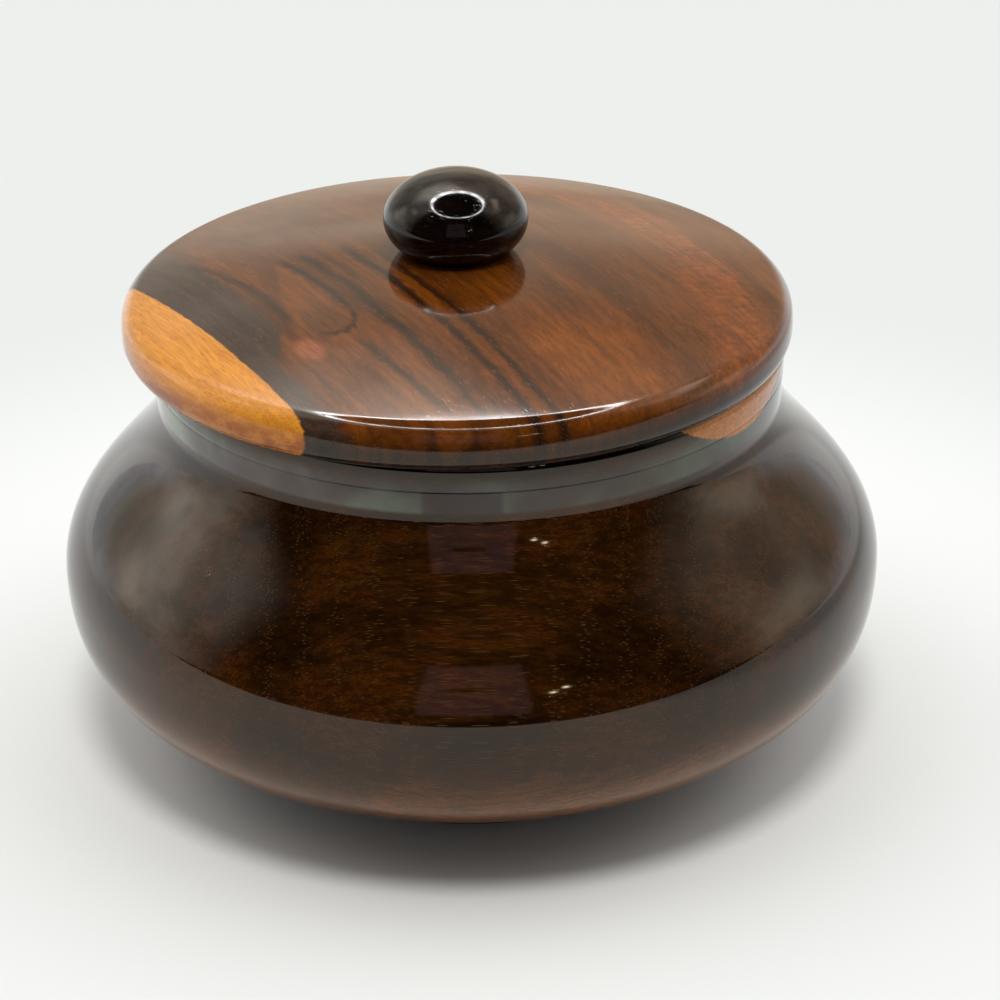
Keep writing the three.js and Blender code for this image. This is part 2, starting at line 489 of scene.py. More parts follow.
def makeSapwoodEdge(s):
    # turns a depth into the sapwood (mm) into a crisp edge, a little broken where fibres cross it
    group, given, result = newEffect(
        "sapwoodEdge", {"Depth": 0.0, "Along": 0.0, "Across": 0.0, "Up": 0.0, "Ragged": 0.3}, ("Sapwood",))
    fibre = point(group, times(group, given["Along"], s["fibreAlong"]), times(group, given["Across"], s["fibreAcross"]),
                  times(group, given["Up"], s["fibreAcross"]))
    rag = swing(group, noise(group, fibre, 1.0, detail=3.0), given["Ragged"])
    feed(group, result["Sapwood"], between(group, plus(group, given["Depth"], rag), -s["soft"], s["soft"]))
    return group


lacquerHabit = {"swellScale": 130.0, "textureScale": 900.0}


def makeLacquerFlow(s):
    # the slow swell of hand-rubbed lacquer and the faint texture in it, as a height in mm
    group, given, result = newEffect("lacquerFlow", {"Place": (0, 0, 0), "Swell": 0.01, "Texture": 0.0006},
                                     ("Height",))
    broad = minus(group, noise(group, given["Place"], s["swellScale"], detail=1.0), 0.5)
    small = minus(group, noise(group, given["Place"], s["textureScale"]), 0.5)
    feed(group, result["Height"], plus(group, times(group, broad, given["Swell"]),
                                       times(group, small, given["Texture"])))
    return group


def makeDustSpecks():
    # specks of pale dust, one here and there
    group, given, result = newEffect("dustSpecks", {"Place": (0, 0, 0), "Spacing": 3.0, "Size": 0.12, "Share": 0.2},
                                     ("Specks",))
    away, pick = cells(group, given["Place"], over(group, 1 / mm, given["Spacing"]))
    reach = over(group, given["Size"], given["Spacing"])
    chosen = maths(group, "LESS_THAN", pick[1], given["Share"])
    feed(group, result["Specks"], times(group, fading(group, away, times(group, reach, 0.5), reach), chosen))
    return group


scuffHabit = {"fleckScale": 2.6, "soft": 0.08}


def makeScuff(s):
    # a small rubbed mark at one spot, broken up into flecks
    group, given, result = newEffect("scuff", {"Place": (0, 0, 0), "Spot": (0, 0, 0), "Reach": 2.0, "Cover": 0.5},
                                     ("Scuff",))
    grown = inMillimetres(group, given["Place"])
    gap = put(group, "ShaderNodeVectorMath", operation="DISTANCE")
    feed(group, gap.inputs[0], grown)
    feed(group, gap.inputs[1], given["Spot"])
    near = fading(group, gap.outputs["Value"], 0, given["Reach"])
    flecks = noise(group, grown, s["fleckScale"], detail=3.0, rough=0.7)
    edge = minus(group, 1, times(group, near, given["Cover"]))
    feed(group, result["Scuff"], between(group, flecks, edge, plus(group, edge, s["soft"])))
    return group


gougeHabit = {"slope": 0.8, "unevenAlong": 0.21, "shallowest": 0.2}


def makeTurningLines(s):
    # the fine lines that the gouge left on the parts that were not sanded to a polish, as a height from 0 to 1
    group, given, result = newEffect("turningLines", {"Place": (0, 0, 0), "Middle": (0, 0, 0), "Spacing": 0.5},
                                     ("Lines",))
    moved = put(group, "ShaderNodeVectorMath", operation="SUBTRACT")
    feed(group, moved.inputs[0], inMillimetres(group, given["Place"]))
    feed(group, moved.inputs[1], given["Middle"])
    x, y, z = parts(group, moved.outputs[0])
    radius = maths(group, "SQRT", plus(group, times(group, x, x), times(group, y, y)))
    run = over(group, plus(group, radius, times(group, z, s["slope"])), given["Spacing"])
    wave = maths(group, "MULTIPLY_ADD", maths(group, "SINE", times(group, run, math.tau)), 0.5, 0.5)
    uneven = noise(group, point(group, times(group, run, s["unevenAlong"]), 0, 0), 1.0)
    feed(group, result["Lines"], times(group, wave, between(group, uneven, *mostNoise, s["shallowest"], 1)))
    return group


grainFrame = makeGrainFrame()
woodFigure = makeWoodFigure(figureHabit)
darkVein = makeDarkVein(veinHabit)
openPores = makeOpenPores(poreHabit)
sapwoodEdge = makeSapwoodEdge(sapwoodHabit)
lacquerFlow = makeLacquerFlow(lacquerHabit)
dustSpecks = makeDustSpecks()
scuff = makeScuff(scuffHabit)
turningLines = makeTurningLines(gougeHabit)
print("shared effects built")


def newWood(name):
    mat = bpy.data.materials.new(name)
    mat.use_nodes = True
    tree = mat.node_tree
    place = put(tree, "ShaderNodeTexCoord").outputs["Object"]
    bare = put(tree, "ShaderNodeAttribute", attribute_name="bare").outputs["Fac"]
    return mat, tree, tree.nodes["Principled BSDF"], place, bare


def grainOf(tree, place, s):
    found = use(tree, grainFrame, Place=place, Middle=s["middle"], Turn=s["turn"])
    return {label: found[label] for label in ("Along", "Across", "Up")}


def wear(tree, place, s, scuffs):
    specks = use(tree, dustSpecks, Place=place, **s["specks"])["Specks"]
    marks = [use(tree, scuff, Place=place, Spot=spot, Reach=reach, Cover=cover)["Scuff"]
             for spot, reach, cover in scuffs]
    return largest(tree, times(tree, specks, s["speckStrength"]), *marks)


finish = {"dulled": 0.3, "bareFrom": 0.2, "bareTo": 0.8}


def finishWood(tree, surface, colour, worn, bare, height, s):
    # wear dulls the lacquer, and bare wood is satin; height is in mm
    rough = plus(tree, s["gloss"], times(tree, worn, finish["dulled"]))
    rough = between(tree, bare, finish["bareFrom"], finish["bareTo"], rough, s["satin"])
    feed(tree, surface.inputs["Base Color"], colour)
    feed(tree, surface.inputs["Roughness"], rough)
    relief = put(tree, "ShaderNodeBump")
    relief.inputs["Strength"].default_value = 1
    relief.inputs["Distance"].default_value = mm
    feed(tree, relief.inputs["Height"], height)
    feed(tree, surface.inputs["Normal"], relief.outputs[0])


# In the woods' settings a group of four lengths says where something begins, is full, fades and ends
lidWood = {
    "middle": (-1.6, 0, 63.8), "turn": 29.4,
    "figure": dict(BandWidth=7.0, Stretch=9.0, Sway=1.2), "streaks": (0.84, 1.12), "fibres": (0.86, 1.12),
    "deep": (0.082, 0.0215, 0.0028, 1), "warm": (0.140, 0.0370, 0.0036, 1),
    "smoky": (0.052, 0.029, 0.019, 1), "smokyEdge": (-29.6, -31.4), "smokyRagged": 1.2,
    "smokyStep": (5, 15), "smokyStepBack": -4.4,
    "ember": (0.215, 0.050, 0.005, 1), "emberMiddle": (33, 4), "emberBow": -0.0072,
    "emberReach": (-8.5, -2.5, 1, 7), "emberLeast": 0.5,
    "rippleAcross": 0.35, "rippleAlong": 1.1, "rippleRange": (0.35, 0.65), "ripple": (0.82, 1.15),
    "ashen": (0.062, 0.020, 0.009, 1), "ashenAcross": (6.5, 11.5, 17.5, 22.5), "ashenAlong": (-28, -12, 14, 30),
    "ashenShare": 0.3,
    "rust": (0.27, 0.072, 0.008, 1), "rustAcross": (-9.5, -2.5, 4.5, 11.5), "rustAlong": (24, 32, 43, 51),
    "rustShare": 0.5,
    # glow: lighter orange wood, partly painted haze from the edge highlight
    "glow": (0.165, 0.048, 0.010, 1), "glowAcross": (-35.5, -30.5, -21.5, -16.5), "glowAlong": (7, 15, 30, 38),
    "glowShare": (0.3, 0.85), "upperGlowAcross": (-30, -27, -24.5, -21.5), "upperGlowAlong": (-37, -27, -15, -5),
    "upperGlowShare": 0.25,
    "blush": (0.300, 0.085, 0.030, 1), "blushMiddle": (-31, 14.5), "blushSquash": 0.6, "blushReach": (0.5, 5.5),
    "blushShare": 0.7,
    "island": (0.150, 0.040, 0.004, 1), "islandTip": (-22.4, -13), "islandLean": -0.17, "islandWiden": (0, 20),
    "islandHalfWidth": (0.8, 4.4), "islandRagged": 0.24, "islandEdge": (0.85, 1.05), "islandStart": (0, 3),
    "islandEnd": (11.8, 13.4),
    "islandCore": (0.085, 0.032, 0.010, 1), "coreEdge": (0.5, 0.8), "coreStart": (2, 7), "coreShare": 0.7,
    "hookMiddle": (-25.4, 8.2), "hookReach": (3.6, 5.2), "hookRagged": 0.12, "hookRing": (0.79, 1.01, 1.01, 1.23),
    "hookStart": (7, 9.5), "hookLeft": (-28.5, -26.5), "hookDepth": 0.85,
    # painted shade on the edge: darkest low down and at the right end
    "shadedEdge": (2.0, 5.5), "edgeStripeScale": 0.55, "edgeStripeRange": (0.42, 0.58), "edgeStripes": (0.04, 0.24),
    "edgeTurn": (-8, 0), "edgeRightShade": 0.45,
    "veinColour": (0.009, 0.005, 0.003, 1), "veinShare": 0.92,
    "poreColour": (0.17, 0.07, 0.02, 1), "poreShare": 0.35, "poreDepth": 0.004,
    "pores": dict(Length=1.1, Width=0.17, Share=0.3),
    "sapwood": (0.70, 0.275, 0.032, 1), "sapwoodDark": (0.42, 0.13, 0.012, 1), "sapwoodShadedLow": (0.30, 0.070, 0.003, 1),
    "sapwoodFrom": -39.5, "sapwoodLean": 0.010, "sapwoodRagged": 0.3, "sapwoodStreaks": 0.35,
    "sapwoodDashes": dict(Length=1.5, Width=0.2, Share=0.55), "dashShare": 0.55, "sapwoodLowLeast": 0.5,
    "dust": (0.45, 0.41, 0.36, 1), "dustShare": 0.5, "speckStrength": 0.6,
    "specks": dict(Spacing=3.2, Size=0.10, Share=0.02),
    "flow": dict(Swell=0.010, Texture=0.0012), "gougeSpacing": 0.6, "gougeDepth": 0.03,
    "gloss": 0.095, "satin": 0.42,
}
lidVeins = (
    dict(At=-35.6, From=-27, To=17, Width=1.1, Depth=0.4, Wander=0.6),
    dict(At=-33.6, From=14, To=34, Width=1.0, Depth=0.45, Middle=24, Lean=0.4),
    dict(At=-29.8, From=-26, To=9, Width=1.3, Depth=0.75, Middle=-4, Bow=-0.5, Wander=0.5),
    dict(At=-24.4, From=15, To=40, Width=1.25, Depth=0.85, Middle=26, Lean=1.0, Wander=0.7),
    dict(At=-27.6, From=20, To=36, Width=0.9, Depth=0.4, Middle=26, Lean=0.8),
    dict(At=-22.0, From=-15, To=11, Width=1.15, Depth=0.95, Bow=-0.4, Wander=0.25),
    dict(At=-19.2, From=-15, To=44, Width=1.25, Depth=0.9, Wander=1.0),
    dict(At=-17.0, From=-13, To=5, Width=0.7, Depth=0.4),
    dict(At=-17.4, From=30, To=46, Width=0.7, Depth=0.4),
    dict(At=-13.6, From=-13, To=56, Width=1.2, Depth=0.95, Wander=0.7),
    dict(At=-10.6, From=-8, To=56, Width=1.1, Depth=0.9, Wander=0.5),
    dict(At=-6.6, From=18, To=56, Width=0.8, Depth=0.3),
    dict(At=-26.7, From=37, To=56, Width=1.1, Depth=0.9, Wander=0.3),
    dict(At=-21.8, From=40, To=56, Width=0.9, Depth=0.85, Wander=0.3),
    dict(At=-16.6, From=42, To=56, Width=0.7, Depth=0.8, Wander=0.2),
    dict(At=2.0, From=16, To=56, Width=0.8, Depth=0.25),
    dict(At=12.5, From=-10, To=46, Width=1.2, Depth=0.22),
    dict(At=18.5, From=-20, To=40, Width=1.3, Depth=0.18),
)
# Each scuff: its place in mm, how far it reaches, and how much of that it covers
lidScuffs = (((21.2, -22.0, 72.6), 2.4, 0.62), ((-33.0, -30.6, 70.3), 1.6, 0.6), ((8.0, -38.0, 70.6), 1.8, 0.5))


def emberMask(tree, along, across, mottle, s):
    far = minus(tree, along, s["emberMiddle"][1])
    bow = minus(tree, minus(tree, across, s["emberMiddle"][0]), times(tree, far, far, s["emberBow"]))
    return times(tree, plateau(tree, bow, *s["emberReach"]), between(tree, mottle, 0, 1, s["emberLeast"], 1))


def islandMasks(tree, along, across, streaks, s):
    # a wedge between the veins that opens towards the front, and the darker core of it
    down = minus(tree, along, s["islandTip"][1])
    middle = maths(tree, "MULTIPLY_ADD", down, s["islandLean"], s["islandTip"][0])
    halfWidth = between(tree, down, *s["islandWiden"], *s["islandHalfWidth"])
    aside = over(tree, minus(tree, across, middle), halfWidth)
    ragged = maths(tree, "MULTIPLY_ADD", streaks, s["islandRagged"], -s["islandRagged"] / 2)
    outwards = plus(tree, maths(tree, "ABSOLUTE", aside), ragged)
    island = times(tree, fading(tree, outwards, *s["islandEdge"]), between(tree, down, *s["islandStart"]),
                   fading(tree, along, *s["islandEnd"]))
    core = times(tree, fading(tree, outwards, *s["coreEdge"]), between(tree, along, *s["coreStart"]), island)
    return island, core


def hookMask(tree, along, across, streaks, s):
    # part of a dark ring that closes the island in front
    x = over(tree, minus(tree, across, s["hookMiddle"][0]), s["hookReach"][0])
    y = over(tree, minus(tree, along, s["hookMiddle"][1]), s["hookReach"][1])
    away = maths(tree, "SQRT", plus(tree, times(tree, x, x), times(tree, y, y)))
    away = plus(tree, away, maths(tree, "MULTIPLY_ADD", streaks, s["hookRagged"], -s["hookRagged"] / 2))
    return times(tree, plateau(tree, away, *s["hookRing"]), between(tree, along, *s["hookStart"]),
                 between(tree, across, *s["hookLeft"]))


def makeLidWood(s):
    mat, tree, surface, place, bare = newWood("lidHeartwood")
    grain = grainOf(tree, place, s)
    along, across, up = grain.values()
    figure = use(tree, woodFigure, **grain, **s["figure"])
    bands, streaks, mottle = figure["Bands"], figure["Streaks"], figure["Mottle"]
    colour = tint(tree, bands, s["deep"], s["warm"])

    # reddish wood to the right, rippled across the grain, and duller and rustier patches beside it
    ripple = point(tree, times(tree, across, s["rippleAcross"]), times(tree, along, s["rippleAlong"]), 0)
    ripple = between(tree, noise(tree, ripple, 1.0), *s["rippleRange"], *s["ripple"])
    rippled = tint(tree, 1.0, s["ember"], point(tree, ripple, ripple, ripple), "MULTIPLY")
    colour = tint(tree, emberMask(tree, along, across, mottle, s), colour, rippled)
    for name in ("ashen", "rust"):
        patch = times(tree, plateau(tree, across, *s[name + "Across"]), plateau(tree, along, *s[name + "Along"]),
                      s[name + "Share"])
        colour = tint(tree, patch, colour, s[name])

    # the smoky zone beside the sapwood, with the island and a blush; the lighter orange patches around it are partly
    # warmer wood, partly painted haze from the edge highlight
    glow = times(tree, plateau(tree, across, *s["glowAcross"]), plateau(tree, along, *s["glowAlong"]),
                 between(tree, bands, 0, 1, *s["glowShare"]))
    upperGlow = times(tree, plateau(tree, across, *s["upperGlowAcross"]), plateau(tree, along, *s["upperGlowAlong"]),
                      s["upperGlowShare"])
    colour = tint(tree, largest(tree, glow, upperGlow), colour, s["glow"])
    stepBack = between(tree, along, *s["smokyStep"], 0, s["smokyStepBack"])
    border = plus(tree, minus(tree, across, stepBack), times(tree, mottle, s["smokyRagged"]))
    colour = tint(tree, between(tree, border, *s["smokyEdge"]), colour, s["smoky"])
    island, core = islandMasks(tree, along, across, streaks, s)
    colour = tint(tree, island, colour, s["island"])
    colour = tint(tree, times(tree, core, s["coreShare"]), colour, s["islandCore"])
    x = minus(tree, across, s["blushMiddle"][0])
    y = times(tree, minus(tree, along, s["blushMiddle"][1]), s["blushSquash"])
    blush = between(tree, plus(tree, times(tree, x, x), times(tree, y, y)), *s["blushReach"], s["blushShare"], 0)
    colour = tint(tree, blush, colour, s["blush"])
    fibre = between(tree, figure["Fibres"], 0, 1, *s["fibres"])
    colour = shade(tree, shade(tree, colour, between(tree, streaks, 0, 1, *s["streaks"])), fibre)

    # the edge is dark and striped: partly its end grain, partly painted shade, darkest low down and at the right end
    shadedEdge = fading(tree, up, *s["shadedEdge"])
    stripe = noise(tree, point(tree, 0, across, 0), s["edgeStripeScale"])
    stripe = between(tree, stripe, *s["edgeStripeRange"], *s["edgeStripes"])
    stripe = times(tree, stripe, between(tree, across, *s["edgeTurn"], 1, s["edgeRightShade"]))
    colour = tint(tree, shadedEdge, colour, shade(tree, colour, stripe))

    veins = [use(tree, darkVein, **grain, **vein)["Vein"] for vein in lidVeins]
    veins.append(times(tree, hookMask(tree, along, across, streaks, s), s["hookDepth"]))
    colour = tint(tree, times(tree, largest(tree, *veins), s["veinShare"]), colour, s["veinColour"])
    pores = use(tree, openPores, **grain, **s["pores"])["Pores"]
    colour = tint(tree, times(tree, pores, s["poreShare"]), colour, s["poreColour"])

    depth = minus(tree, plus(tree, s["sapwoodFrom"], times(tree, along, s["sapwoodLean"])), across)
    sapwood = use(tree, sapwoodEdge, **grain, Depth=depth, Ragged=s["sapwoodRagged"])["Sapwood"]
    dashes = use(tree, openPores, **grain, **s["sapwoodDashes"])["Pores"]
    pale = tint(tree, times(tree, streaks, s["sapwoodStreaks"]), s["sapwood"], s["sapwoodDark"])
    pale = tint(tree, times(tree, dashes, s["dashShare"]), pale, s["sapwoodDark"])
    pale = shade(tree, pale, fibre)
    # painted shade: the sapwood is darker low on the edge
    low = times(tree, shadedEdge, between(tree, mottle, 0, 1, s["sapwoodLowLeast"], 1))
    pale = tint(tree, low, pale, s["sapwoodShadedLow"])
    colour = tint(tree, sapwood, colour, pale)

    worn = wear(tree, place, s, lidScuffs)
    colour = tint(tree, times(tree, worn, s["dustShare"]), colour, s["dust"])
    height = use(tree, lacquerFlow, Place=place, **s["flow"])["Height"]
    height = minus(tree, height, times(tree, pores, s["poreDepth"]))
    lines = use(tree, turningLines, Place=place, Middle=s["middle"], Spacing=s["gougeSpacing"])["Lines"]
    height = plus(tree, height, times(tree, lines, bare, s["gougeDepth"]))
    finishWood(tree, surface, colour, worn, bare, height, s)
    return mat


bowlWood = {
    "middle": (0, 0, 0), "turn": 90,
    "figure": dict(BandWidth=15.0, Stretch=3.0, Sway=3.0), "streaks": (0.7, 1.25), "fibres": (0.75, 1.3),
    "deep": (0.0105, 0.0032, 0.0004, 1), "warm": (0.028, 0.0088, 0.0009, 1),
    "red": (0.038, 0.0082, 0.0008, 1), "redShare": 0.5,
    "low": (0.150, 0.044, 0.008, 1), "lowWoodAndBounceZone": (27, 12), "lowFoot": (3, 15), "lowAtFoot": 0.12, "lowLeast": 0.5,
    "poreColour": (0.075, 0.038, 0.011, 1), "poreShare": 0.55, "poreDepth": 0.002,
    "pores": dict(Length=2.4, Width=0.13, Share=0.42),
    "dry": (0.135, 0.058, 0.024, 1), "dryDark": (0.070, 0.028, 0.012, 1), "dryShare": 0.8,
    "film": (0.098, 0.122, 0.088, 1), "filmDark": (0.050, 0.044, 0.044, 1), "filmFoot": (55.9, 56.7),
    "filmTop": (60.2, 62.2), "filmShare": (0.6, 0.95), "filmScale": 190, "patchScale": 62,
    "patchRange": (0.38, 0.62), "sheenLeft": 2.3, "filmLeftward": (-4, -34), "sheenRight": 0.75,
    "filmRightward": (5, 25), "sheenBehind": 0.3, "filmBackward": (4, -16),
    "paintedReflectionSpot": (0.022, 0.012, 0.019, 1), "spotAlong": (-7.1, -6.1, 3.7, 4.7), "spotUp": (49.85, 50.15, 59.45, 59.75),
    "spotShare": 0.75, "inFront": (0, -20),
    "lidShadow": (0.0025, 0.0012, 0.0006, 1), "lidShadowUp": (61.6, 62.8, 63.3, 63.7),
    "sapwood": (0.46, 0.155, 0.020, 1), "sapwoodDark": (0.26, 0.075, 0.009, 1), "sapwoodStreaks": 0.4,
    "sapwoodMiddle": (37.5, -24, 83.4), "sapwoodAim": 55, "sapwoodReach": 24.6, "sapwoodInner": 36,
    "sapwoodRagged": 0.35,
    "dust": (0.38, 0.35, 0.31, 1), "dustShare": 0.35, "speckStrength": 0.6,
    "specks": dict(Spacing=3.4, Size=0.10, Share=0.03),
    "flow": dict(Swell=0.012, Texture=0.0012), "gougeSpacing": 0.7, "gougeDepth": 0.035,
    "gloss": 0.055, "satin": 0.45,
}
bowlScuffs = (((-36.5, -38.0, 45.0), 4.0, 0.5), ((16.5, -54.5, 31.0), 2.2, 0.5), ((-14.0, -57.0, 15.0), 2.0, 0.55))


def waxFilmAndSheen(tree, colour, place, grain, bare, s):
    # a thin grey film on the collar: partly wax that the cloth left, partly painted reflection of the pale table and
    # walls, strongest to the left and weakest behind, with a dark painted reflection on it at one spot in front
    along, across, up = grain.values()
    patches = between(tree, noise(tree, place, s["patchScale"]), *s["patchRange"])
    wax = tint(tree, patches, s["film"], s["filmDark"])
    sheenGain = times(tree, between(tree, along, *s["filmLeftward"], 1, s["sheenLeft"]),
                  between(tree, along, *s["filmRightward"], 1, s["sheenRight"]),
                  between(tree, across, *s["filmBackward"], s["sheenBehind"], 1))
    wax = shade(tree, wax, sheenGain)
    # painted reflection: a dark purplish patch on the film in front
    spot = times(tree, plateau(tree, along, *s["spotAlong"]), plateau(tree, up, *s["spotUp"]),
                 between(tree, across, *s["inFront"]))
    wax = tint(tree, times(tree, spot, s["spotShare"]), wax, s["paintedReflectionSpot"])
    cover = between(tree, noise(tree, place, s["filmScale"], detail=3.0), *mostNoise, *s["filmShare"])
    film = times(tree, between(tree, up, *s["filmFoot"]), fading(tree, up, *s["filmTop"]),
                 minus(tree, 1, bare), cover)
    return tint(tree, film, colour, wax)


def makeBowlWood(s):
    mat, tree, surface, place, bare = newWood("bowlHeartwood")
    grain = grainOf(tree, place, s)
    up = grain["Up"]
    figure = use(tree, woodFigure, **grain, **s["figure"])
    bands, streaks = figure["Bands"], figure["Streaks"]
    colour = tint(tree, bands, s["deep"], s["warm"])
    colour = tint(tree, times(tree, figure["Mottle"], bands, s["redShare"]), colour, s["red"])
    # the lower belly is lighter and warmer: partly its own wood, partly painted light bounced up from the pale table;
    # less so near the foot
    low = times(tree, between(tree, up, *s["lowWoodAndBounceZone"]), between(tree, up, *s["lowFoot"], s["lowAtFoot"], 1),
                between(tree, bands, 0, 1, s["lowLeast"], 1))
    colour = tint(tree, low, colour, s["low"])
    fibre = between(tree, figure["Fibres"], 0, 1, *s["fibres"])
    colour = shade(tree, shade(tree, colour, between(tree, streaks, 0, 1, *s["streaks"])), fibre)
    pores = use(tree, openPores, **grain, **s["pores"])["Pores"]
    colour = tint(tree, times(tree, pores, s["poreShare"]), colour, s["poreColour"])
    colour = tint(tree, times(tree, bare, s["dryShare"]), colour, tint(tree, streaks, s["dry"], s["dryDark"]))
    colour = waxFilmAndSheen(tree, colour, place, grain, bare, s)
    # painted shade: the collar just under the lid's overhang is made nearly black
    lidShadow = times(tree, plateau(tree, up, *s["lidShadowUp"]), minus(tree, 1, bare))
    colour = tint(tree, lidShadow, colour, s["lidShadow"])

    # a corner of sapwood in the collar: the heartwood's edge bows through it
    aim = grainOf(tree, place, {"middle": s["sapwoodMiddle"], "turn": s["sapwoodAim"]})
    gap = maths(tree, "SQRT", plus(tree, times(tree, aim["Across"], aim["Across"]),
                                   times(tree, aim["Up"], aim["Up"])))
    outwards = plus(tree, aim["Along"], math.hypot(*s["sapwoodMiddle"][:2]) - s["sapwoodInner"])
    depth = maths(tree, "MINIMUM", minus(tree, s["sapwoodReach"], gap), outwards)
    sapwood = use(tree, sapwoodEdge, **grain, Depth=depth, Ragged=s["sapwoodRagged"])["Sapwood"]
    pale = tint(tree, times(tree, streaks, s["sapwoodStreaks"]), s["sapwood"], s["sapwoodDark"])
    colour = tint(tree, sapwood, colour, shade(tree, pale, fibre))

    worn = wear(tree, place, s, bowlScuffs)
    colour = tint(tree, times(tree, worn, s["dustShare"]), colour, s["dust"])
    height = use(tree, lacquerFlow, Place=place, **s["flow"])["Height"]
    height = minus(tree, height, times(tree, pores, s["poreDepth"]))
    lines = use(tree, turningLines, Place=place, Middle=s["middle"], Spacing=s["gougeSpacing"])["Lines"]
    height = plus(tree, height, times(tree, lines, bare, s["gougeDepth"]))
    finishWood(tree, surface, colour, worn, bare, height, s)
    return mat


knobWood = {
    "middle": (-1.6, 0, 76), "turn": 65, "deep": (0.0012, 0.0007, 0.0006, 1), "warm": (0.0045, 0.0020, 0.0013, 1),
    "figure": dict(BandWidth=3.0, Stretch=8.0, Sway=0.6), "fibres": (0.7, 1.3),
    "poreColour": (0.022, 0.014, 0.009, 1), "poreShare": 0.5, "poreDepth": 0.006,
    "pores": dict(Length=0.9, Width=0.14, Share=0.3),
    "dust": (0.30, 0.28, 0.26, 1), "dustShare": 0.3, "speckStrength": 1.0,
    "specks": dict(Spacing=2.4, Size=0.09, Share=0.12),
    "flow": dict(Swell=0.006, Texture=0.0008), "gloss": 0.08, "satin": 0.45, "ior": 1.42,
}


def makeKnobWood(s):
    mat, tree, surface, place, bare = newWood("knobDarkWood")
    grain = grainOf(tree, place, s)
    figure = use(tree, woodFigure, **grain, **s["figure"])
    colour = tint(tree, figure["Bands"], s["deep"], s["warm"])
    colour = shade(tree, colour, between(tree, figure["Fibres"], 0, 1, *s["fibres"]))
    pores = use(tree, openPores, **grain, **s["pores"])["Pores"]
    colour = tint(tree, times(tree, pores, s["poreShare"]), colour, s["poreColour"])
    worn = wear(tree, place, s, ())
    colour = tint(tree, times(tree, worn, s["dustShare"]), colour, s["dust"])
    surface.inputs["IOR"].default_value = s["ior"]
    height = use(tree, lacquerFlow, Place=place, **s["flow"])["Height"]
    height = minus(tree, height, times(tree, pores, s["poreDepth"]))
    finishWood(tree, surface, colour, worn, bare, height, s)
    return mat


for piece, wood, body, node, slot in (
        (bowlPiece, makeBowlWood(bowlWood), "bowl", "bowl", "bowl_heartwood"),
        (lidPiece, makeLidWood(lidWood), "lid", "lid", "lid_heartwood"),
        (knobPiece, makeKnobWood(knobWood), "lid", "knob", "knob_dark_wood")):
    piece.data.materials.append(wood)
    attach(piece, body)
    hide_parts(node)
print("woods finished")


lightTent = {
    "backdrop": (0.86, 0.865, 0.85, 1), "softColour": (1, 1, 0.99, 1),
    "softLight": 0.86, "softLightInFront": 0.135, "softLamps": 1.12,
    "wall": 0.68, "wallLeft": (1, 0.91, 0.77, 1), "wallRight": (1, 0.82, 0.62, 1), "wallTurn": (-0.3, 0.1),
    "roof": 0.95, "roofLeft": (1, 0.93, 0.82, 1), "roofRight": (1, 0.82, 0.66, 1), "roofTurn": (-0.25, 0.05),
    "roofRise": (34, 56), "roofColourRise": (34, 50),
    "backRoof": 3.2, "backRoofRound": (115, 145), "backRoofRise": (37, 59), "backRoofLag": 11, "lagTurn": (-0.06, 0.11),
    "hazeColour": (0.95, 0.98, 1, 1), "cloudScale": 3.6, "clouds": (0.72, 1.28),
    "opening": 0.012, "panel": 0.26, "panelColour": (1, 0.62, 0.75, 1),
    "smallLamps": 22.0, "smallLampColour": (1, 0.80, 0.48, 1),
}
# Where each patch of the tent begins, is full, fades and ends: degrees round from the camera's side, to the
# right, or to both sides alike, and degrees up
everyHeight = (-92, -91, 91, 92)
litPatches = {
    "leftWall": dict(round=(-142, -115, -40, -20), up=everyHeight, light=0.30),
    "rightPanel": dict(round=(75, 89, 105, 119), up=(-2, 8, 15, 25), light=0.5),
    "window": dict(round=(-126, -110, -104, -88), up=(1, 15, 25, 39), light=0.95),
    "backSpot": dict(bothSides=(166, 174, 186, 194), up=(3, 9, 16, 22), light=0.30),
    "backLeft": dict(round=(-176, -170, -158, -146), up=(3, 13, 29, 39), light=0.10),
    "haze": dict(bothSides=(108, 124, 152, 168), up=(-92, -91, 1, 12), light=0.36),
    "sideLamps": dict(bothSides=(86, 94, 102, 110), up=(35, 41, 44, 50), light=1.0),
    "edgeLamp": dict(round=(99, 109, 123, 133), up=(40.5, 45.5, 48.5, 53.5), light=1.6),
}
frontPatches = {
    "opening": dict(round=(-92, -66, 58, 90), up=(-92, -91, 62.5, 65.5)),
    "panel": dict(round=(-15.7, -14.3, 14.3, 15.7), up=(1.9, 3.5, 43.2, 44.8)),
    "slot": dict(round=(-8, -6, 4, 6), up=(25.2, 26.8, 28.7, 30.3)),
    "lowLamp": dict(round=(20.1, 21.1, 21.7, 22.7), up=(20.1, 21.1, 21.5, 22.5)),
    "highLamp": dict(round=(24.1, 25.1, 25.7, 26.7), up=(23.1, 24.1, 24.7, 25.7)),
    "dimFront": dict(bothSides=(-2, -1, 55, 105), up=(-92, -91, 38, 62)),
    "softLamps": dict(bothSides=(39, 65, 115, 141), up=(32, 42, 58, 68)),
}


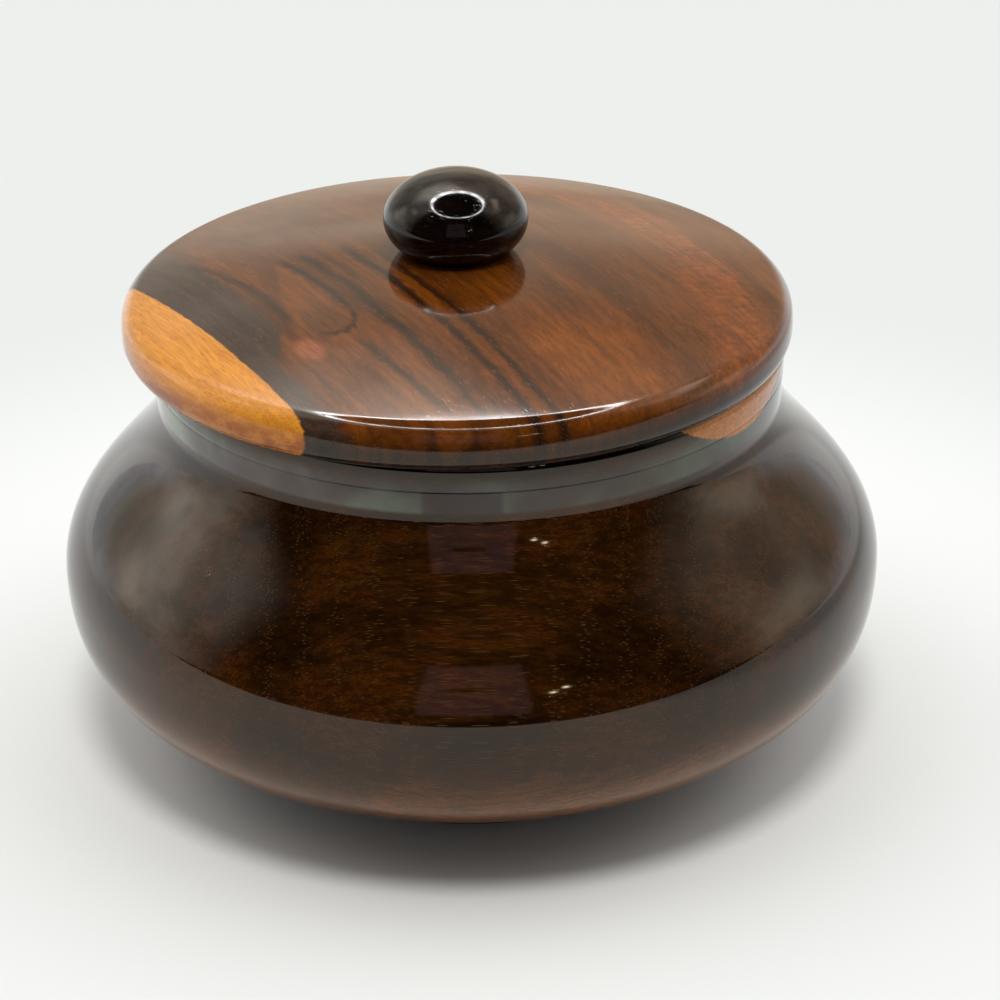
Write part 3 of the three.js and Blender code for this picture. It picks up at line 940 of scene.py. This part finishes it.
def hangTent(s):
    world = bpy.data.worlds.new("lightTent")
    bpy.context.scene.world = world
    world.use_nodes = True
    tree = world.node_tree
    tree.nodes.clear()
    where = put(tree, "ShaderNodeTexCoord").outputs["Generated"]
    x, y, z = parts(tree, where)
    around = maths(tree, "DEGREES", maths(tree, "ARCTAN2", x, times(tree, y, -1)))
    up = maths(tree, "DEGREES", maths(tree, "ARCSINE", z))
    offFront = maths(tree, "ABSOLUTE", around)

    def mask(patch):
        sideways = plateau(tree, around, *patch["round"]) if "round" in patch \
            else plateau(tree, offFront, *patch["bothSides"])
        return times(tree, sideways, plateau(tree, up, *patch["up"]))

    # what the lacquer mirrors: walls, a brighter roof, windows and lamps
    lag = between(tree, x, *s["lagTurn"], 0, s["backRoofLag"])  # the glow behind starts higher up on the right
    backRoof = between(tree, minus(tree, up, lag), *s["backRoofRise"], 0, s["backRoof"])
    level = plus(tree, between(tree, up, *s["roofRise"], s["wall"], s["roof"]),
                 times(tree, between(tree, offFront, *s["backRoofRound"]), backRoof))
    for patch in litPatches.values():
        level = plus(tree, level, times(tree, mask(patch), patch["light"]))
    level = times(tree, level, between(tree, noise(tree, where, s["cloudScale"], detail=3.0), *mostNoise, *s["clouds"]))
    colour = tint(tree, between(tree, x, *s["wallTurn"]), s["wallLeft"], s["wallRight"])
    roof = tint(tree, between(tree, x, *s["roofTurn"]), s["roofLeft"], s["roofRight"])
    colour = tint(tree, between(tree, up, *s["roofColourRise"]), colour, roof)
    colour = tint(tree, mask(litPatches["haze"]), colour, s["hazeColour"])

    # the opening on the camera's side, a panel in it with a slot, and two small lamps to the right of that
    opening = mask(frontPatches["opening"])
    panel = times(tree, mask(frontPatches["panel"]), minus(tree, 1, mask(frontPatches["slot"])))
    colour = tint(tree, times(tree, panel, opening), colour, s["panelColour"])
    lamps = plus(tree, mask(frontPatches["lowLamp"]), mask(frontPatches["highLamp"]))
    colour = tint(tree, lamps, colour, s["smallLampColour"])
    inOpening = plus(tree, maths(tree, "MULTIPLY_ADD", panel, s["panel"], s["opening"]),
                     times(tree, lamps, s["smallLamps"]))
    mirrored = put(tree, "ShaderNodeBackground")
    feed(tree, mirrored.inputs["Color"], colour)
    feed(tree, mirrored.inputs["Strength"], between(tree, opening, 0, 1, level, inOpening, smooth=False))

    # what lights the wood and the table: even, dimmer low down in front, brighter at both sides
    soft = put(tree, "ShaderNodeBackground")
    soft.inputs["Color"].default_value = s["softColour"]
    even = between(tree, mask(frontPatches["dimFront"]), 0, 1, s["softLight"], s["softLightInFront"], smooth=False)
    beside = times(tree, mask(frontPatches["softLamps"]), s["softLamps"])
    feed(tree, soft.inputs["Strength"], plus(tree, even, beside))
    backdrop = put(tree, "ShaderNodeBackground")
    backdrop.inputs["Color"].default_value = s["backdrop"]
    ray = put(tree, "ShaderNodeLightPath").outputs
    unseen = put(tree, "ShaderNodeMixShader")
    feed(tree, unseen.inputs[0], ray["Is Glossy Ray"])
    feed(tree, unseen.inputs[1], soft.outputs[0])
    feed(tree, unseen.inputs[2], mirrored.outputs[0])
    whole = put(tree, "ShaderNodeMixShader")
    feed(tree, whole.inputs[0], ray["Is Camera Ray"])
    feed(tree, whole.inputs[1], unseen.outputs[0])
    feed(tree, whole.inputs[2], backdrop.outputs[0])
    feed(tree, put(tree, "ShaderNodeOutputWorld").inputs[0], whole.outputs[0])


# Metres from the bowl's middle, and degrees aside from straight behind it
tableTop = {
    "halfWidth": 8, "seen": (0.80, 0.81, 0.80, 1), "seenFar": (0.672, 0.688, 0.682, 1), "seenFarFrom": (0.085, 0.18),
    "near": (0.80, 0.72, 0.62, 1), "nearBehind": (-0.08, 0.04),
    "sides": (0.98, 0.99, 0.98, 1), "sidesBehind": (0.22, 0.42), "sidesAside": (15, 29, 53, 67),
    "sidesLeftOnly": (0.02, -0.02), "sidesRightUntil": (30, 44),
    "back": (0.60, 0.52, 0.42, 1), "backBehind": (0.1, 0.3), "backAside": (8, 22),
    "right": (0.50, 0.50, 0.48, 1), "rightFrom": (0.12, 0.28), "rightUntil": (0.34, 0.2),
    "frontEdge": (-0.233, -0.237), "beyond": 0.012,
}


def layTable(s):
    mesh = bpy.data.meshes.new("tableTop")
    work = bmesh.new()
    bmesh.ops.create_grid(work, x_segments=1, y_segments=1, size=s["halfWidth"])
    work.to_mesh(mesh)
    work.free()
    table = bpy.data.objects.new("tableTop", mesh)
    bpy.context.scene.collection.objects.link(table)
    mat = bpy.data.materials.new("paleTable")
    mat.use_nodes = True
    tree = mat.node_tree
    tree.nodes.clear()
    spot = put(tree, "ShaderNodeTexCoord").outputs["Object"]
    x, y, z = parts(tree, spot)
    # painted light: the table is lighter close round the bowl, where its shade falls, and darker further off
    seen = tint(tree, between(tree, lengthOf(tree, spot), *s["seenFarFrom"]), s["seen"], s["seenFar"])

    # painted light and shade that only the lacquer mirrors: it sees the table warmer in front, brighter behind to both
    # sides, darker straight behind and far to the right
    aside = maths(tree, "DEGREES", maths(tree, "ARCTAN2", maths(tree, "ABSOLUTE", x), y))
    kept = largest(tree, between(tree, x, *s["sidesLeftOnly"]), fading(tree, aside, *s["sidesRightUntil"]))
    sides = times(tree, between(tree, y, *s["sidesBehind"]), plateau(tree, aside, *s["sidesAside"]), kept)
    back = times(tree, between(tree, y, *s["backBehind"]), fading(tree, aside, *s["backAside"]))
    right = times(tree, between(tree, x, *s["rightFrom"]), between(tree, y, *s["rightUntil"]))
    mirrored = tint(tree, between(tree, y, *s["nearBehind"]), s["near"], s["seen"])
    for zone, colour in ((sides, s["sides"]), (back, s["back"]), (right, s["right"])):
        mirrored = tint(tree, zone, mirrored, colour)
    glossy = put(tree, "ShaderNodeLightPath").outputs["Is Glossy Ray"]
    pale = put(tree, "ShaderNodeBsdfDiffuse")
    feed(tree, pale.inputs["Color"], tint(tree, glossy, seen, mirrored))

    # reflections end where the table does, in front of the bowl
    dim = put(tree, "ShaderNodeEmission")
    dim.inputs["Strength"].default_value = s["beyond"]
    mix = put(tree, "ShaderNodeMixShader")
    feed(tree, mix.inputs[0], times(tree, between(tree, y, *s["frontEdge"]), glossy))
    feed(tree, mix.inputs[1], pale.outputs[0])
    feed(tree, mix.inputs[2], dim.outputs[0])
    feed(tree, put(tree, "ShaderNodeOutputMaterial").inputs[0], mix.outputs[0])
    mesh.materials.append(mat)


ringLamp = {
    "radius": 0.098, "width": 0.009, "backWidth": 0.009, "halo": 0.014, "soft": 0.0015, "sides": 96,
    "place": (0.0085, -0.012, 0.28), "light": 20.0, "haloLight": 3.0,
    "patchScale": 26, "patchRange": (0.35, 0.65), "patches": (0.55, 1.4), "leftward": (-0.11, -0.02), "leftGain": 1.35,
}


def hangRingLamp(s):
    # only the lacquer mirrors it: a bright uneven ring round a dark middle, with a glow behind it
    mesh = bpy.data.meshes.new("ringLamp")
    work = bmesh.new()
    reach = s["radius"] + s["width"] + s["backWidth"] + s["halo"]
    bmesh.ops.create_circle(work, cap_ends=True, segments=s["sides"], radius=reach)
    work.to_mesh(mesh)
    work.free()
    lamp = bpy.data.objects.new("ringLamp", mesh)
    lamp.location = s["place"]
    bpy.context.scene.collection.objects.link(lamp)
    mat = bpy.data.materials.new("ringGlow")
    mat.use_nodes = True
    tree = mat.node_tree
    tree.nodes.clear()
    spot = put(tree, "ShaderNodeTexCoord").outputs["Object"]
    x, y, z = parts(tree, spot)
    away = lengthOf(tree, spot)
    back = between(tree, y, 0, s["radius"])
    rim = maths(tree, "MULTIPLY_ADD", back, s["backWidth"], s["radius"] + s["width"])
    ring = times(tree, between(tree, away, s["radius"] - s["soft"], s["radius"] + s["soft"]),
                 fading(tree, away, minus(tree, rim, s["soft"]), plus(tree, rim, s["soft"])))
    patchy = between(tree, noise(tree, spot, s["patchScale"]), *s["patchRange"], *s["patches"])
    leftward = between(tree, x, *s["leftward"], s["leftGain"], 1)
    halo = times(tree, fading(tree, away, rim, plus(tree, rim, s["halo"])), back, s["haloLight"])
    outside = between(tree, away, minus(tree, rim, s["soft"]), rim)
    glow = put(tree, "ShaderNodeEmission")
    feed(tree, glow.inputs["Strength"], plus(tree, times(tree, ring, patchy, leftward, s["light"]),
                                             times(tree, halo, outside)))
    clear = put(tree, "ShaderNodeBsdfTransparent")
    hole = put(tree, "ShaderNodeMixShader")
    feed(tree, hole.inputs[0], outside)
    feed(tree, hole.inputs[2], clear.outputs[0])
    both = put(tree, "ShaderNodeAddShader")
    feed(tree, both.inputs[0], hole.outputs[0])
    feed(tree, both.inputs[1], glow.outputs[0])
    feed(tree, put(tree, "ShaderNodeOutputMaterial").inputs[0], both.outputs[0])
    mesh.materials.append(mat)
    lamp.visible_camera = lamp.visible_diffuse = lamp.visible_shadow = False


topLamp = {"light": 1.36, "spread": 15, "tilt": 24.5, "colour": (1, 0.99, 0.97)}


def hangTopLamp(s):
    data = bpy.data.lights.new("topLight", "SUN")
    data.energy = s["light"]
    data.angle = math.radians(s["spread"])
    data.color = s["colour"]
    lamp = bpy.data.objects.new("topLight", data)
    lamp.rotation_euler = (math.radians(s["tilt"]), 0, 0)
    lamp.visible_glossy = False
    bpy.context.scene.collection.objects.link(lamp)


hangTent(lightTent)
layTable(tableTop)
hangRingLamp(ringLamp)
hangTopLamp(topLamp)
print("studio lit")

camera = {"place": (0, -0.446204, 0.255154), "pitch": 0.4561, "yaw": 0.0095, "roll": -0.0113, "focal": 3.35833,
          "sensor": 36, "nearest": 0.05, "farthest": 30}
data = bpy.data.cameras.new("camera")
data.sensor_width = camera["sensor"]
data.lens = camera["sensor"] * camera["focal"]
data.clip_start = camera["nearest"]
data.clip_end = camera["farthest"]
cam = bpy.data.objects.new("camera", data)
turn = Euler((math.pi / 2 - camera["pitch"], 0, -camera["yaw"])).to_matrix() @ Matrix.Rotation(camera["roll"], 3, "Z")
cam.matrix_world = Matrix.Translation(camera["place"]) @ turn.to_4x4()
bpy.context.scene.collection.objects.link(cam)
bpy.context.scene.camera = cam
bpy.context.scene.view_settings.view_transform = "Standard"
print("camera set")
